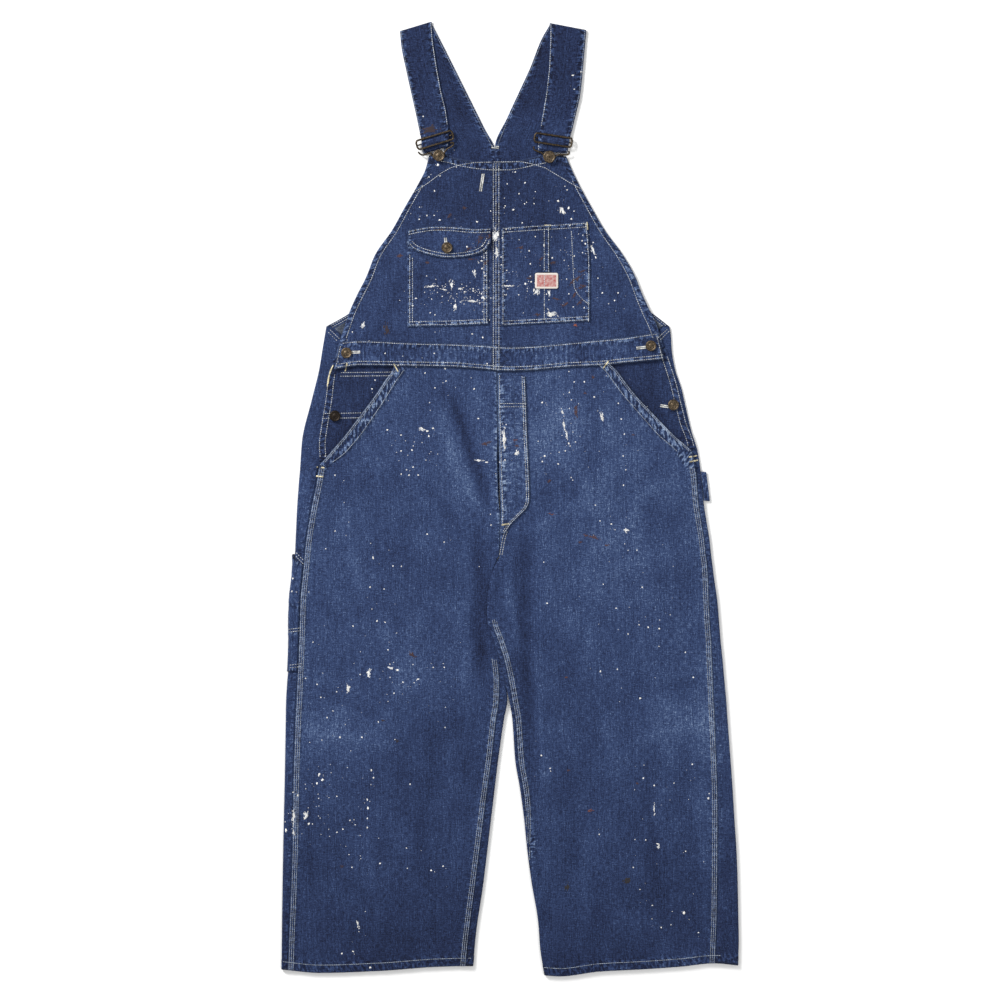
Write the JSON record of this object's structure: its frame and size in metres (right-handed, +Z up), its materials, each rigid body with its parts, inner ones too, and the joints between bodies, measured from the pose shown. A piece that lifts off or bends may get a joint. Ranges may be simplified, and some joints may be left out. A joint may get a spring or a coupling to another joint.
{
  "type": "paint spattered denim bib overalls",
  "caption": "Worn blue denim bib overalls laid out flat, with wire strap buckles, bib pockets, slant hip pockets, a hammer loop and spattered paint.",
  "frame": {"origin": "on the surface under the middle of the garment", "axes": "+X across the garment towards the picture's right, +Y along it towards the shoulder straps, +Z up out of its front"},
  "size_m": [0.6622, 1.3838, 0.0132],
  "materials": {
    "denim": "worn indigo twill denim, faded at the knees and thighs, puckered felled seams, spattered with white paint",
    "label_cloth": "plain cream woven label, faded",
    "stitching": "off-white cotton thread",
    "bar_tack": "cream cotton bar tacks",
    "paint": "dried white house paint, thin and matt",
    "aged_bronze": "dark worn bronze wire and buttons"
  },
  "bodies": {
    "root": {"back_leg_left": "denim", "back_leg_right": "denim", "front_leg_left": "denim", "front_leg_right": "denim", "back_left": "denim", "back_right": "denim", "bib_left": "denim", "bib_right": "denim", "bib_pocket_left": "denim", "pocket_flap": "denim", "bib_pocket_right": "denim", "pencil_slot": "denim", "pocket_label": "label_cloth", "waistband": "denim", "hip_panel_left": "denim", "hip_panel_right": "denim", "fly_placket": "denim", "rule_pocket": "denim", "hammer_loop": "denim", "button_bib_left": "aged_bronze", "button_bib_right": "aged_bronze", "button_waist_left": "aged_bronze", "button_waist_right": "aged_bronze", "button_side_left": "aged_bronze", "button_side_right": "aged_bronze", "button_flap": "aged_bronze", "buckle_slide_left": "aged_bronze", "buckle_slide_right": "aged_bronze", "buckle_hook_left": "aged_bronze", "buckle_hook_right": "aged_bronze"}
  },
  "joints": []
}
